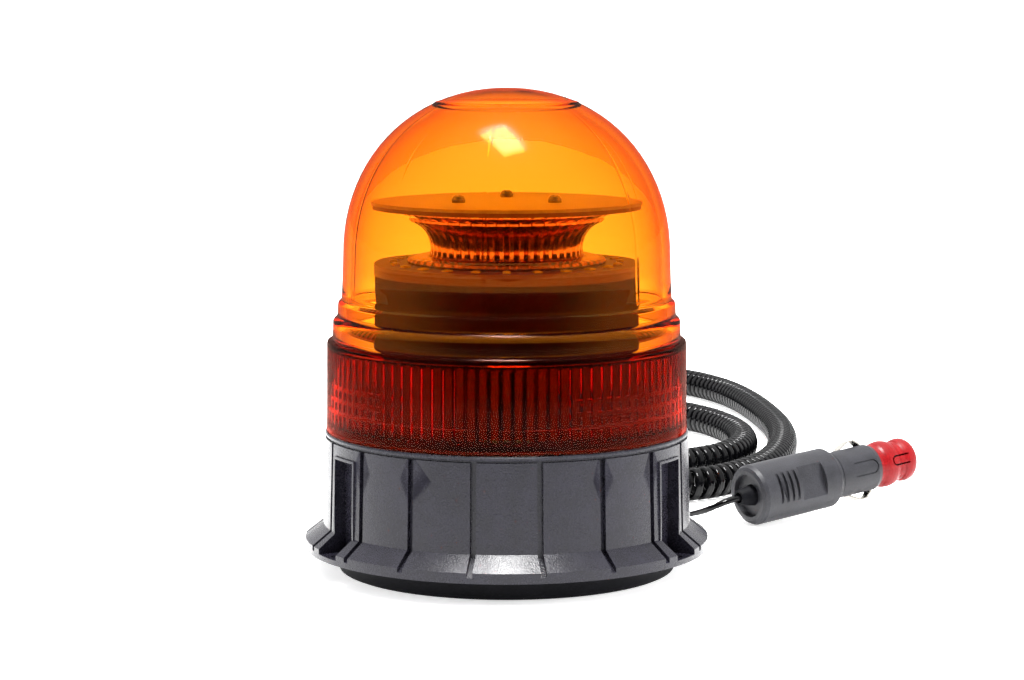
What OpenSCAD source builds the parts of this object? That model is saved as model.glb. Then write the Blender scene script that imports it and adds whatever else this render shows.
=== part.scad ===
// LED warning beacon: amber dome, ribbed base, magnetic foot, curly cord and 12 V plug.
// Origin at the centre of the foot's lower face, +Z up through the dome. Millimetres.

/* [Base housing] */
// Outer diameter of the mounting flange
flange_d = 160; // [140:1:200]
// How far the flange stands out past the foot of the wall
flange_reach = 7.2; // [6:0.1:8]
// Height of the flange's underside above the surface the beacon stands on
flange_z = 9; // [8.5:0.1:12]
// Height of the flange's upright outer band
flange_band = 4; // [3:0.5:5]
// Height of the slope between the band and the wall
flange_slope = 5.6; // [4:0.1:8]
// Height of the ribbed wall's top edge
wall_top_z = 53; // [46:1:70]
// How much the wall leans in from foot to top, on the radius
wall_draft = 1; // [0.5:0.1:2]
// Thickness of the housing's walls
housing_wall = 2.4; // [2:0.1:3]
// Thickness of the deck that closes the housing at the top
deck_t = 3; // [2.5:0.1:4]
// Number of wall panels, a multiple of three
panel_count = 18; // [12:3:24]
// Width of the channel between two panels
channel_w = 2.3; // [1.5:0.1:3]
// Depth of the channels below the panels
channel_depth = 1.8; // [1:0.1:2]
// Height of the bead under the lens
bead_h = 1.6; // [1.2:0.1:3]
// Height and depth of the shadow gap under the bead
bead_gap = 0.7; // [0.5:0.1:1.2]
// Height of the spigot that centres the lens
spigot_h = 9; // [8:0.5:12]

/* [Screw recesses] */
// Width of each of the three screw recesses
recess_w = 14.6; // [12:0.1:16]
// Depth of a recess behind the wall's foot
recess_depth = 4.8; // [3:0.1:5]
// Thickness of the lip that the mounting screw clamps
recess_lip = 2; // [1.5:0.1:3]
// Distance from the top of the wall to the top of a recess
recess_top_gap = 5.2; // [4:0.1:8]
// Width of the bead around a recess
recess_bead_w = 1; // [0.6:0.1:1.4]
// Diameter of the mounting holes
mount_hole_d = 5; // [4:0.1:5.5]
// Distance from the mounting holes' centres to the flange's edge
mount_hole_inset = 4.6; // [4:0.1:5]

/* [Magnetic foot] */
// Distance from the flange's edge in to the foot's edge
foot_inset = 13; // [12:0.5:16]
// Thickness of the rubber under the magnet
boot_floor = 1.5; // [1:0.1:2.5]
// Thickness of the rubber boot's side
boot_wall = 2.2; // [1.5:0.1:3]
// Thickness of the steel plate over the magnet
plate_t = 2; // [1.5:0.1:2.5]
// Outer and inner diameter of the ring magnet
magnet_d = 104; // [80:1:106]
// Diameter of the hole in the ring magnet
magnet_bore_d = 36; // [20:1:60]
// Radius of the circle that the foot screws lie on
foot_screw_r = 58; // [57:0.5:59]

/* [Lens] */
// Wall thickness of the lens
lens_wall = 2.4; // [2:0.1:3]
// Height of the skirt, from the lens's lower edge to its shoulder
skirt_h = 35.5; // [28:0.5:45]
// Radial step in at the shoulder
shoulder_step = 2.3; // [1.5:0.1:3]
// Height of the dome above the shoulder
dome_h = 98.7; // [85:0.5:120]
// Height above the shoulder where the dome's curve starts
dome_spring_h = 33; // [28:0.5:40]
// Radius of the raised disc on top of the dome
cap_r = 28; // [20:1:32]
// Angle through which the lens turns to leave its bayonet
lens_turn = 18; // [12:1:24]

/* [Light unit] */
// Diameter of the drum that carries the light unit
drum_d = 103.6; // [90:0.2:106]
// Height of the drum
drum_h = 61.7; // [50:0.1:70]
// Wall thickness of the drum
drum_wall = 2.5; // [2:0.1:4]
// Diameter of the lower board and its heat spreader
lower_disc_d = 104.2; // [92:0.2:107]
// Diameter of the plate over the upper board
upper_disc_d = 106.4; // [92:0.2:108]
// Distance between the two boards
board_gap = 21.2; // [16:0.1:26]
// Thickness of the circuit boards
board_t = 1.6; // [1:0.1:2]
// Thickness of the heat spreader
spreader_t = 2.9; // [2:0.1:4]
// Thickness of the plate over the upper board
top_plate_t = 1.2; // [1:0.1:2]
// Radius of the reflector's waist
waist_r = 30; // [28:0.5:32]
// Radius of the reflector's upper edge
trumpet_r = 42; // [38:0.5:44]
// Number of emitters on each board
led_count = 24; // [12:1:32]
// Radius of the circle that the emitters lie on
led_r = 44.6; // [44.4:0.1:47]
// Radius of the circle that the standoffs lie on
standoff_r = 21.5; // [18:0.5:23]

/* [Cord] */
// Outer diameter of the curly part
coil_d = 14.6; // [12:0.1:15]
// Width of the flat twin-core lead
lead_d = 4.4; // [3:0.1:5]
// Height of the gland's centre above the floor
gland_z = 26; // [24:0.5:34]
// Length of the gland's tapered nose, outside the wall
gland_nose = 22; // [20:0.5:26]

/* [Plug] */
// Diameter of the handle
handle_d = 26; // [24:0.1:28]
// Length of the handle
handle_len = 44; // [40:0.5:50]
// Diameter of the barrel that enters the socket
barrel_d = 21; // [20.8:0.05:21.2]
// Length of the barrel
barrel_len = 22; // [20:0.5:26]
// Length of the red adapter
adapter_len = 21; // [18:0.5:24]
// Diameter of the spigot under the adapter
plug_spigot_d = 12; // [11.8:0.05:12.2]
// Travel of the adapter when it is pulled off its spigot
adapter_travel = 18; // [10:0.5:19]
// Diameter of the tip contact
tip_d = 4.8; // [4:0.1:5.4]
// Travel of the tip contact
tip_travel = 2.5; // [1.5:0.1:3]
// How far the tip contact stands out of the adapter
tip_proud = 3.4; // [2.8:0.1:4]
// Width of the two leaf contacts
leaf_w = 4.4; // [3:0.1:5]
// How far the leaf contacts stand out of the barrel
leaf_proud = 2.7; // [2:0.1:3]

/* [Hidden] */
$fn = 96;

colour_housing = "#56565e";
colour_rubber = "#17171a";
colour_dark = "#3a2a28";
colour_steel = "#b9bcc2";
colour_board = "#e8e4da";
colour_lens = "#f0801a";
colour_plug = "#3b3b40";
colour_red = "#e0202a";

// Derived sizes of the base
flange_r = flange_d / 2;
foot_wall_r = flange_r - flange_reach;
top_wall_r = foot_wall_r - wall_draft;
band_z = flange_z + flange_band;
slope_z = band_z + flange_slope;
bead_z = wall_top_z + bead_gap;
rim_z = bead_z + bead_h;
deck_z = rim_z - deck_t;
lens_fit = 0.35;
spigot_r = top_wall_r - 4.8;
spigot_wall = 3;
shell_depth = channel_depth + housing_wall;
recess_r = foot_wall_r - recess_depth;
lip_z = flange_z + recess_lip;
mount_r = flange_r - mount_hole_inset;
floor_ring_t = 2.5;
floor_ring_r = foot_screw_r - 5;
screw_play = 0.1;

// Derived sizes of the foot
foot_r = flange_r - foot_inset;
plate_z = flange_z - plate_t;
plate_r = foot_r - boot_wall - screw_play;
magnet_top_z = plate_z;

// Foot screws, board screws and riser screws
foot_head_r = 3.5;
foot_head_h = 2.4;
foot_shank_r = 1.6;
foot_shank_h = 14;
small_head_r = 2.4;
small_head_h = 2;
small_shank_r = 1.2;
post_r = 3.5;
post_circle_r = 38;
driver_z = 38;
driver_r = 46;
boss_r = 4.5;
boss_h = 16;

// Derived heights of the light unit
drum_r = drum_d / 2;
drum_top_z = rim_z + drum_h;
spreader_z = drum_top_z;
lower_board_z = spreader_z + spreader_t;
lower_face_z = lower_board_z + board_t;
upper_face_z = lower_face_z + board_gap;
upper_plate_z = upper_face_z + board_t;
light_top_z = upper_plate_z + top_plate_t;
riser_screw_r = drum_r - 7;
riser_boss_r = 4;
riser_boss_h = 12;
wire_hole_r = 6;
wire_r = 0.9;
standoff_rad = 3.2;
stud_r = 1.5;
trumpet_wall = 1.6;

// Derived sizes of the lens
lens_z = rim_z + 0.2;
lens_r = top_wall_r - 0.8;
shoulder_z = lens_z + skirt_h;
ring_r = lens_r - shoulder_step;
dome_r = ring_r - 4.4;
apex_z = shoulder_z + dome_h;
spring_z = shoulder_z + dome_spring_h;
dome_power = 2.1;
lug_h = 2.2;
lug_angle = 14;
lug_z = lens_z + 1.6;

// Plug: its local +X runs from the rear face to the tip
plug_rear = [103, 82, 13];
plug_yaw = 33;
plug_lift = 5.4;
plug_roll = 16;
handle_r = handle_d / 2;
barrel_r = barrel_d / 2;
barrel_x = handle_len + 1.4;
barrel_end = barrel_x + barrel_len;
adapter_gap = 0.4;
adapter_x = barrel_end + adapter_gap;
adapter_end = adapter_x + adapter_len;
plug_spigot_r = plug_spigot_d / 2;
plug_spigot_end = adapter_end - 4;
spigot_foot = 4;
tip_r = tip_d / 2;
tip_fit = 0.05;
tip_flange_r = 3.5;
tip_flange_t = 1.6;
tip_bore_r = 3.8;
tip_wall = 1.8;
tip_flange_x = plug_spigot_end - tip_wall - tip_flange_t;
cavity_r = 8.2;
tunnel_r = 4.4;
fuse_r = 2.6;
fuse_len = 20;
fuse_x = barrel_x + 1.6;
leaf_t = 0.6;
leaf_play = 0.5;
leaf_x = barrel_x + 2;
leaf_len = 18;
leaf_root_r = barrel_r - 2;
leaf_slot_r = leaf_root_r - 3.6;
relief_r = 4;
relief_out = 5;
relief_in = 10;
recess_face_r = 8.8;
recess_face_x = 2.2;

// The cord leaves through the rear wall, to the left of the middle
gland_azimuth = atan2(80, -60);
gland_wall_r = foot_wall_r - 0.4;
gland_tip_r = gland_wall_r + gland_nose;
lead_r = lead_d / 2;
lead_fit = 0.1;
gland_core_r = 4.6;
gland_head_r = 6.6;
gland_head_t = 2.4;
coil_z = 7.5;

// Routes, chosen by hand: the lead from the gland to the curly part, on the floor behind the base
lead_route = [[-38, 50.7, 26], [-57, 76, 26], [-62, 83, 25], [-67, 91, 21], [-71, 101, 14], [-73, 112, 7],
    [-74, 125, 3], [-73, 142, 2.4], [-69, 160, 2.4], [-62, 175, 2.8], [-53, 186, 4.5], [-44, 191, 6.5],
    [-35, 193, 7.5]];
// The curly part, lying in two flat bends
coil_route = [[-35, 193], [-10, 191], [20, 187], [50, 187], [72, 190], [88, 200], [102, 215], [112, 237],
    [116, 262], [115, 286], [110, 310], [100, 335], [84, 355], [60, 367], [30, 371], [0, 372], [-28, 380],
    [-50, 402], [-58, 432], [-50, 464], [-28, 487], [0, 497], [35, 499], [70, 491], [100, 473],
    [118, 440], [128, 400], [134, 355], [137, 310], [136, 268], [130, 225], [119, 188], [103, 160],
    [86, 143], [62, 136], [36, 136], [12, 138]];
// The tail from the curly part to the plug
tail_route = [[12, 138, 7.5], [2, 138, 5.5], [-8, 136, 3.4], [-17, 129, 2.4], [-20, 120, 2.4],
    [-17, 111, 2.4], [-8, 106, 2.4], [4, 104, 2.4], [18, 104, 2.4], [32, 104, 2.4], [46, 103, 2.4],
    [58, 101, 2.4], [68, 98, 2.5], [76, 93, 3.2], [81, 87, 4.6], [85, 80, 7], [89, 76, 9.6]];

// ---- helpers -------------------------------------------------------------------------------

// Places a child at a distance and azimuth from the lamp's axis; azimuth 0 is the front, -Y
module around(azimuth, radius) rotate([0, 0, azimuth]) translate([0, -radius, 0]) children();

module tube_ring(outer_r, inner_r, z, h)
    translate([0, 0, z])
        difference() {
            cylinder(r = outer_r, h = h);
            translate([0, 0, -1]) cylinder(r = inner_r, h = h + 2);
        }

module pan_screw(head_r, head_h, shank_r, shank_h) {
    // Head upward from z = 0, shank downward
    difference() {
        rotate_extrude()
            polygon([[0, 0], [head_r, 0], [head_r, head_h * 0.45], [head_r * 0.8, head_h * 0.85],
                [head_r * 0.45, head_h], [0, head_h]]);
        for (turn = [0, 90])
            rotate([0, 0, turn])
                translate([-head_r * 0.55, -head_r * 0.13, head_h * 0.5])
                    cube([head_r * 1.1, head_r * 0.26, head_h]);
    }
    translate([0, 0, -shank_h]) cylinder(r = shank_r, h = shank_h + 0.01);
}

module at_plug()
    translate(plug_rear)
        rotate([0, 0, plug_yaw])
            rotate([0, -plug_lift, 0])
                rotate([-plug_roll, 0, 0])
                    children();

// Turns a profile given as [distance along the plug, radius] about the plug's own axis
module turned_on_plug(profile)
    rotate([0, 90, 0])
        rotate_extrude()
            polygon([for (p = profile) [p[1], p[0]]]);

module plug_rod(radius, x0, x1)
    translate([x0, 0, 0]) rotate([0, 90, 0]) cylinder(r = radius, h = x1 - x0);

// One closed tube swept along a route: a ring of points at each route point, square to the path
function unit(v) = v / norm(v);
function path_dir(route, i) =
    unit(route[min(i + 1, len(route) - 1)] - route[max(i - 1, 0)]);
function ring_points(centre, dir, radius, sides) =
    let (side = unit(cross(dir, [0, 0, 1])), up = cross(side, dir))
    [for (k = [0:sides - 1])
        let (a = (k + 0.5) * 360 / sides)
        centre + radius * (cos(a) * side + sin(a) * up)];
module swept_tube(route, radius, sides) {
    count = len(route);
    points = [for (i = [0:count - 1]) each ring_points(route[i], path_dir(route, i), radius, sides)];
    walls = [for (i = [0:count - 2], k = [0:sides - 1])
        let (n = (k + 1) % sides)
        each [[i * sides + k, i * sides + n, (i + 1) * sides + n],
            [i * sides + k, (i + 1) * sides + n, (i + 1) * sides + k]]];
    first = [[for (k = [sides - 1:-1:0]) k]];
    last = [[for (k = [0:sides - 1]) (count - 1) * sides + k]];
    polyhedron(points = points, faces = concat(first, walls, last), convexity = 10);
}

// ---- base ----------------------------------------------------------------------------------

// Outline of the housing's outside, moved in by an amount on the wall and the slope
module housing_outline(inset)
    polygon([[0, flange_z], [flange_r, flange_z], [flange_r, band_z - inset],
        [foot_wall_r - inset, slope_z - inset], [top_wall_r - inset, wall_top_z],
        [top_wall_r - 1, wall_top_z], [top_wall_r - 1, bead_z], [top_wall_r - 0.3, bead_z],
        [top_wall_r, bead_z + 0.4], [top_wall_r, rim_z - 0.5], [top_wall_r - 0.4, rim_z], [0, rim_z]]);

module housing_skin()
    difference() {
        rotate_extrude() housing_outline(0);
        difference() {
            for (i = [0:panel_count - 1])
                rotate([0, 0, (i + 0.5) * 360 / panel_count])
                    translate([-channel_w / 2, -flange_r - 1, flange_z + 1])
                        cube([channel_w, flange_r / 2, wall_top_z - flange_z - 1]);
            rotate_extrude() housing_outline(channel_depth);
        }
    }

module recess_cut() {
    // The pocket in the wall, open over the flange, and the screw hole in its lip
    translate([-recess_w / 2, -flange_r - 1, lip_z])
        cube([recess_w, flange_r + 1 - recess_r, wall_top_z - recess_top_gap - lip_z]);
    translate([0, -mount_r, 0]) cylinder(d = mount_hole_d, h = lip_z + 1, $fn = 48);
}

module recess_frame() {
    // A bead that follows the pocket's mouth up one side, across the top and down the other
    bead_top = wall_top_z - recess_top_gap + recess_bead_w;
    outer_w = recess_w + 2 * recess_bead_w;
    difference() {
        translate([-outer_w / 2, -foot_wall_r, slope_z - 1])
            cube([outer_w, recess_depth, bead_top - slope_z + 1]);
        translate([-recess_w / 2, -foot_wall_r - 1, 0])
            cube([recess_w, recess_depth + 2, wall_top_z - recess_top_gap]);
        translate([0, 0, slope_z - 2])
            difference() {
                cylinder(r = foot_wall_r + 9, h = wall_top_z);
                translate([0, 0, -0.1])
                    cylinder(r1 = foot_wall_r + 0.6, r2 = top_wall_r + 0.6, h = wall_top_z + 0.2);
            }
    }
}

module base_housing() {
    color(colour_housing)
        difference() {
            union() {
                difference() {
                    housing_skin();
                    difference() {
                        // The hollow inside the skin, and the opening in the floor ring
                        union() {
                            rotate_extrude()
                                polygon([[0, flange_z + floor_ring_t],
                                    [foot_wall_r - shell_depth, flange_z + floor_ring_t],
                                    [top_wall_r - shell_depth, deck_z], [0, deck_z]]);
                            translate([0, 0, flange_z - 1]) cylinder(r = floor_ring_r, h = 5);
                        }
                        // What stays inside it: pocket backs, screw bosses and board posts
                        for (a = [60, 180, 300])
                            rotate([0, 0, a])
                                translate([-recess_w / 2 - housing_wall, -foot_wall_r, flange_z])
                                    cube([recess_w + 2 * housing_wall, recess_depth + housing_wall,
                                        wall_top_z - flange_z]);
                        for (a = [30, 150, 270])
                            around(a, foot_screw_r)
                                translate([0, 0, flange_z]) cylinder(r = boss_r, h = boss_h);
                        for (a = [30, 150, 270])
                            around(a, post_circle_r)
                                translate([0, 0, driver_z + board_t]) cylinder(r = post_r, h = 30);
                    }
                }
                for (a = [60, 180, 300]) rotate([0, 0, a]) recess_frame();
                spigot();
            }
            for (a = [60, 180, 300]) rotate([0, 0, a]) recess_cut();
            for (a = [30, 150, 270]) {
                around(a, foot_screw_r)
                    translate([0, 0, flange_z - 1])
                        cylinder(r = foot_shank_r, h = foot_shank_h + 1, $fn = 32);
                around(a, post_circle_r)
                    translate([0, 0, driver_z])
                        cylinder(r = small_shank_r, h = 10, $fn = 32);
                around(a, riser_screw_r)
                    translate([0, 0, deck_z - 1])
                        cylinder(r = small_shank_r + 0.4, h = deck_t + 2, $fn = 32);
            }
            translate([0, 0, deck_z - 1]) cylinder(r = wire_hole_r, h = deck_t + 2);
            rotate([0, 0, gland_azimuth])
                translate([foot_wall_r - 12, 0, gland_z])
                    rotate([0, 90, 0])
                        cylinder(r = gland_core_r + 0.05, h = 20);
            rotate([0, 0, gland_azimuth])
                translate([gland_wall_r, 0, gland_z])
                    rotate([0, 90, 0])
                        cylinder(r = gland_head_r + 0.4, h = 10);
        }
}

// The ring that centres the lens, with three tabs that its lugs turn under
module spigot() {
    tube_ring(spigot_r, spigot_r - spigot_wall, rim_z - 0.5, spigot_h + 0.5);
    tab_z = lug_z + lug_h + lens_fit;
    for (a = [0, 120, 240])
        rotate([0, 0, a - lug_angle / 2 - 90])
            translate([0, 0, tab_z])
                rotate_extrude(angle = lug_angle)
                    polygon([[spigot_r - 1, 0], [spigot_r + 0.9, 0], [spigot_r + 0.9, 1.6],
                        [spigot_r, 2.4], [spigot_r - 1, 2.4]]);
}

module lens_seal()
    color(colour_rubber)
        tube_ring(spigot_r + 1, spigot_r + 0.02, rim_z + 0.02, 0.9);

// ---- foot ----------------------------------------------------------------------------------

module rubber_boot()
    color(colour_rubber)
        rotate_extrude()
            polygon([[0, 0], [foot_r - 1.6, 0], [foot_r - 0.5, 0.5], [foot_r, 1.6], [foot_r, flange_z],
                [foot_r - boot_wall, flange_z], [foot_r - boot_wall, boot_floor], [0, boot_floor]]);

module magnet_ring()
    color("#2c2c2e")
        tube_ring(magnet_d / 2, magnet_bore_d / 2, boot_floor, magnet_top_z - boot_floor);

module magnet_plate()
    color(colour_steel)
        difference() {
            translate([0, 0, plate_z]) cylinder(r = plate_r, h = plate_t);
            for (a = [30, 150, 270])
                around(a, foot_screw_r)
                    translate([0, 0, plate_z - 1])
                        cylinder(r = foot_shank_r + 0.4, h = plate_t + 2, $fn = 32);
        }

module foot_screws()
    color(colour_steel)
        for (a = [30, 150, 270])
            around(a, foot_screw_r)
                translate([0, 0, plate_z])
                    mirror([0, 0, 1])
                        pan_screw(foot_head_r, foot_head_h, foot_shank_r - screw_play / 2, foot_shank_h);

// ---- electronics in the base ---------------------------------------------------------------

module driver_board()
    color("#2f6b45")
        difference() {
            translate([0, 0, driver_z]) cylinder(r = driver_r, h = board_t);
            for (a = [30, 150, 270])
                around(a, post_circle_r)
                    translate([0, 0, driver_z - 1])
                        cylinder(r = small_shank_r + 0.4, h = board_t + 2, $fn = 32);
        }

module driver_components() {
    color("#26262c")
        for (x = [-16, 0, 16])
            translate([x, 20, driver_z - 13]) cylinder(r = 5, h = 13);
    color("#303036")
        for (side = [-1, 1])
            translate([side * 16 - 6, -14, driver_z - 7]) cube([12, 12, 7]);
    color("#1c1c20")
        for (i = [-2:2])
            translate([i * 10 - 3, -30, driver_z - 2]) cube([6, 5, 2]);
    color("#f2f2ee")
        translate([-30, 2, driver_z - 8]) cube([8, 10, 8]);
}

module board_screws()
    color(colour_steel)
        for (a = [30, 150, 270])
            around(a, post_circle_r)
                translate([0, 0, driver_z])
                    mirror([0, 0, 1])
                        pan_screw(small_head_r, small_head_h, small_shank_r - screw_play / 2, 8);

// The cord's two cores, from the gland's inner end to the connector on the driver board
module inner_leads()
    color("#a01818")
        for (side = [-1, 1])
            swept_tube([[-37.4 + side, 50 + side * 0.7, 26], [-35 + side, 45 + side * 0.6, 26],
                [-32 + side, 36, 26.5], [-29 + side, 26, 28], [-27 + side, 16, 30], [-26 + side, 12.5, 32]],
                wire_r, 8);

// ---- light unit ----------------------------------------------------------------------------

module riser_drum()
    color(colour_dark)
        difference() {
            union() {
                difference() {
                    translate([0, 0, rim_z]) cylinder(r = drum_r, h = drum_h);
                    translate([0, 0, rim_z - 1])
                        cylinder(r = drum_r - drum_wall, h = drum_h + 1 - drum_wall);
                }
                for (a = [30, 150, 270])
                    around(a, riser_screw_r)
                        translate([0, 0, rim_z]) cylinder(r = riser_boss_r, h = riser_boss_h);
                // Webs that join the screw bosses to the wall
                for (a = [30, 150, 270])
                    around(a, riser_screw_r + riser_boss_r - 1)
                        translate([-1, -2.5, rim_z]) cube([2, 3, riser_boss_h]);
            }
            for (a = [30, 150, 270])
                around(a, riser_screw_r)
                    translate([0, 0, rim_z - 1])
                        cylinder(r = small_shank_r, h = riser_boss_h - 2, $fn = 32);
            translate([0, 0, drum_top_z - drum_wall - 1]) cylinder(r = wire_hole_r, h = drum_wall + 2);
        }

module riser_screws()
    color(colour_steel)
        for (a = [30, 150, 270])
            around(a, riser_screw_r)
                translate([0, 0, deck_z])
                    mirror([0, 0, 1])
                        pan_screw(small_head_r, small_head_h, small_shank_r - screw_play / 2, deck_t + 7);

module heat_spreader()
    color("#9a9ca0")
        difference() {
            translate([0, 0, spreader_z]) cylinder(d = lower_disc_d, h = spreader_t);
            translate([0, 0, spreader_z - 1]) cylinder(r = wire_hole_r, h = spreader_t + 2);
            for (a = [60, 180, 300])
                around(a, standoff_r)
                    translate([0, 0, spreader_z + 0.5])
                        cylinder(r = stud_r + screw_play / 2, h = spreader_t, $fn = 32);
        }

module lower_led_board()
    color(colour_board)
        difference() {
            translate([0, 0, lower_board_z]) cylinder(d = lower_disc_d, h = board_t);
            translate([0, 0, lower_board_z - 1]) cylinder(r = wire_hole_r - 1, h = board_t + 2);
            for (a = [60, 180, 300])
                around(a, standoff_r)
                    translate([0, 0, lower_board_z - 1])
                        cylinder(r = stud_r + screw_play / 2, h = board_t + 2, $fn = 32);
        }

// An emitter on its board: a flat square package with a round window, looking along +Z
module emitter() {
    translate([-1.5, -1.5, 0]) cube([3, 3, 0.65]);
    cylinder(r = 1.2, h = 0.8, $fn = 24);
}

module lower_leds()
    color("#ffe9a8")
        for (i = [0:led_count - 1])
            around(i * 360 / led_count, led_r) translate([0, 0, lower_face_z]) emitter();

module upper_leds()
    color("#ffe9a8")
        for (i = [0:led_count - 1])
            around(i * 360 / led_count, led_r)
                translate([0, 0, upper_face_z]) mirror([0, 0, 1]) emitter();

module board_leads()
    color("#a01818")
        for (side = [-1, 1])
            translate([side * 2, 0, driver_z + board_t])
                cylinder(r = wire_r, h = upper_face_z - driver_z - board_t, $fn = 24);

// Fluted trumpet between the boards: foot ring, waist, flare and edge
module reflector() {
    foot_edge = waist_r + 9;
    flare = trumpet_r - waist_r;
    flare_z = lower_face_z + 3.5;
    flare_h = upper_face_z - 1.6 - flare_z;
    curve = [for (i = [0:8]) let (a = i * 90 / 8)
        [waist_r + flare * (1 - cos(a)), flare_z + flare_h * sin(a)]];
    color("#d89030")
        rotate_extrude()
            polygon(concat(
                [[foot_edge, lower_face_z], [foot_edge, lower_face_z + 1.6],
                    [foot_edge - 1, lower_face_z + 2.4], [waist_r + 1.2, lower_face_z + 2.4]],
                curve,
                [[trumpet_r, upper_face_z], [trumpet_r - 3, upper_face_z]],
                [for (i = [8:-1:0]) [curve[i][0] - trumpet_wall - 1.4 * i / 8, curve[i][1]]],
                [[waist_r - trumpet_wall, lower_face_z]]));
}

module standoffs()
    color(colour_steel)
        for (a = [60, 180, 300])
            around(a, standoff_r)
                difference() {
                    union() {
                        translate([0, 0, lower_face_z])
                            cylinder(r = standoff_rad, h = board_gap, $fn = 48);
                        translate([0, 0, lower_face_z - board_t - 2])
                            cylinder(r = stud_r, h = board_t + 3, $fn = 32);
                    }
                    translate([0, 0, upper_face_z - 10]) cylinder(r = stud_r, h = 11, $fn = 32);
                }

module screwed_disc(diameter, z, h)
    difference() {
        translate([0, 0, z]) cylinder(d = diameter, h = h);
        for (a = [60, 180, 300])
            around(a, standoff_r)
                translate([0, 0, z - 1]) cylinder(r = stud_r + 0.2, h = h + 2, $fn = 32);
    }

module upper_led_board()
    color(colour_board)
        screwed_disc(upper_disc_d - 1, upper_face_z, board_t);

module top_plate()
    color("#c88a3c")
        screwed_disc(upper_disc_d, upper_plate_z, top_plate_t);

module top_screws()
    color(colour_steel)
        for (a = [60, 180, 300])
            around(a, standoff_r)
                translate([0, 0, light_top_z])
                    pan_screw(2.6, 2.8, stud_r - screw_play / 2, 10);

// ---- lens ----------------------------------------------------------------------------------

// Outline of the lens's outside or, moved in by the wall, of its inside
function dome_curve(inset, steps) =
    [for (i = [0:steps])
        let (a = i * 90 / steps)
        [(dome_r - inset) * pow(cos(a), 2 / dome_power),
            spring_z + (apex_z - inset - spring_z) * pow(sin(a), 2 / dome_power)]];

function lens_outline(inset) = concat(
    [[lens_r + 0.2 - inset, lens_z], [lens_r - inset, lens_z + 6],
        [lens_r - 0.2 - inset, shoulder_z - 0.8 - inset], [lens_r - 0.8 - inset, shoulder_z - inset],
        [ring_r - inset, shoulder_z + 0.4 - inset], [ring_r - 0.4 - inset, shoulder_z + 8],
        [ring_r - 2 - inset, shoulder_z + 9.4], [ring_r - 2.3 - inset, shoulder_z + 14.6],
        [ring_r - 3.2 - inset, shoulder_z + 16.4]],
    dome_curve(inset, 24));

module lens()
    color(colour_lens, 0.6) {
        difference() {
            rotate_extrude() polygon(concat([[0, lens_z]], lens_outline(0)));
            rotate_extrude() polygon(concat([[0, lens_z - 1], [lens_r + 0.2 - lens_wall, lens_z - 1]],
                lens_outline(lens_wall)));
        }
        for (a = [0, 120, 240])
            rotate([0, 0, a - lug_angle / 2 - 90])
                translate([0, 0, lug_z])
                    rotate_extrude(angle = lug_angle)
                        polygon([[spigot_r + lens_fit, 0], [lens_r - lens_wall + 0.5, 0],
                            [lens_r - lens_wall + 0.5, lug_h], [spigot_r + lens_fit, lug_h]]);
        // The raised disc on the crown
        translate([0, 0, cap_z])
            tube_ring(cap_r, cap_r - 1.6, -0.6, 0.9);
    }

// Height of the dome at the cap's radius
cap_z = spring_z + (apex_z - spring_z) * pow(1 - pow(cap_r / dome_r, dome_power), 1 / dome_power);

// ---- gland and cord ------------------------------------------------------------------------

module cable_gland()
    color(colour_rubber)
        rotate([0, 0, gland_azimuth])
            translate([gland_wall_r, 0, gland_z])
                rotate([0, 90, 0])
                    rotate_extrude()
                        polygon([[lead_r + lead_fit, -9], [gland_core_r + 1, -9], [gland_core_r + 1, -7],
                            [gland_core_r, -6.6], [gland_core_r, 0.02], [gland_head_r, 0.02],
                            [gland_head_r, gland_head_t], [5.4, gland_head_t + 0.8],
                            [3.4, gland_nose], [lead_r + lead_fit, gland_nose]]);

module cord_lead() color(colour_rubber) swept_tube(lead_route, lead_r, 8);

module curly_cord()
    color(colour_rubber)
        swept_tube([for (p = coil_route) [p[0], p[1], coil_z]], coil_d / 2, 12);

function plug_point(x) = plug_rear + x * [cos(plug_yaw) * cos(plug_lift),
    sin(plug_yaw) * cos(plug_lift), sin(plug_lift)];

module cord_tail()
    color(colour_rubber)
        swept_tube(concat(tail_route, [plug_point(-9.5), plug_point(-relief_out), plug_point(2),
            plug_point(relief_in)]), lead_r, 8);

// ---- plug ----------------------------------------------------------------------------------

module plug_relief()
    color(colour_rubber)
        at_plug()
            turned_on_plug([[-relief_out, lead_r + lead_fit], [-relief_out, 3.1],
                [recess_face_x, relief_r + 0.6], [recess_face_x, relief_r], [relief_in, relief_r],
                [relief_in, lead_r + lead_fit]]);

module plug_body() {
    difference() {
        turned_on_plug([[0, 0], [0, handle_r - 2.2], [0.6, handle_r - 0.8], [2.2, handle_r],
            [handle_len - 2.4, handle_r], [handle_len, barrel_r + 0.7], [handle_len + 0.6, barrel_r + 0.6],
            [handle_len + 0.6, barrel_r - 0.6], [barrel_x, barrel_r - 0.6], [barrel_x, barrel_r],
            [barrel_end - 2.2, barrel_r], [barrel_end, barrel_r - 0.9], [barrel_end, 0]]);
        // Bore for the relief, the wiring space, the fuse tunnel and the spigot's seat
        turned_on_plug([[-1, 0], [-1, recess_face_r + 0.6], [recess_face_x, recess_face_r],
            [recess_face_x, relief_r + 0.05], [relief_in, relief_r + 0.05], [relief_in, cavity_r],
            [barrel_x, cavity_r], [barrel_x, tunnel_r], [barrel_end - spigot_foot, tunnel_r],
            [barrel_end - spigot_foot, plug_spigot_r + tip_fit],
            [barrel_end + 1, plug_spigot_r + tip_fit], [barrel_end + 1, 0]]);
        // Slots for the two leaf contacts
        for (side = [-1, 1])
            translate([leaf_x - 1, -leaf_w / 2 - leaf_play, side > 0 ? leaf_slot_r : -handle_r])
                cube([leaf_len + 2.6, leaf_w + 2 * leaf_play, handle_r - leaf_slot_r]);
    }
}

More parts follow.
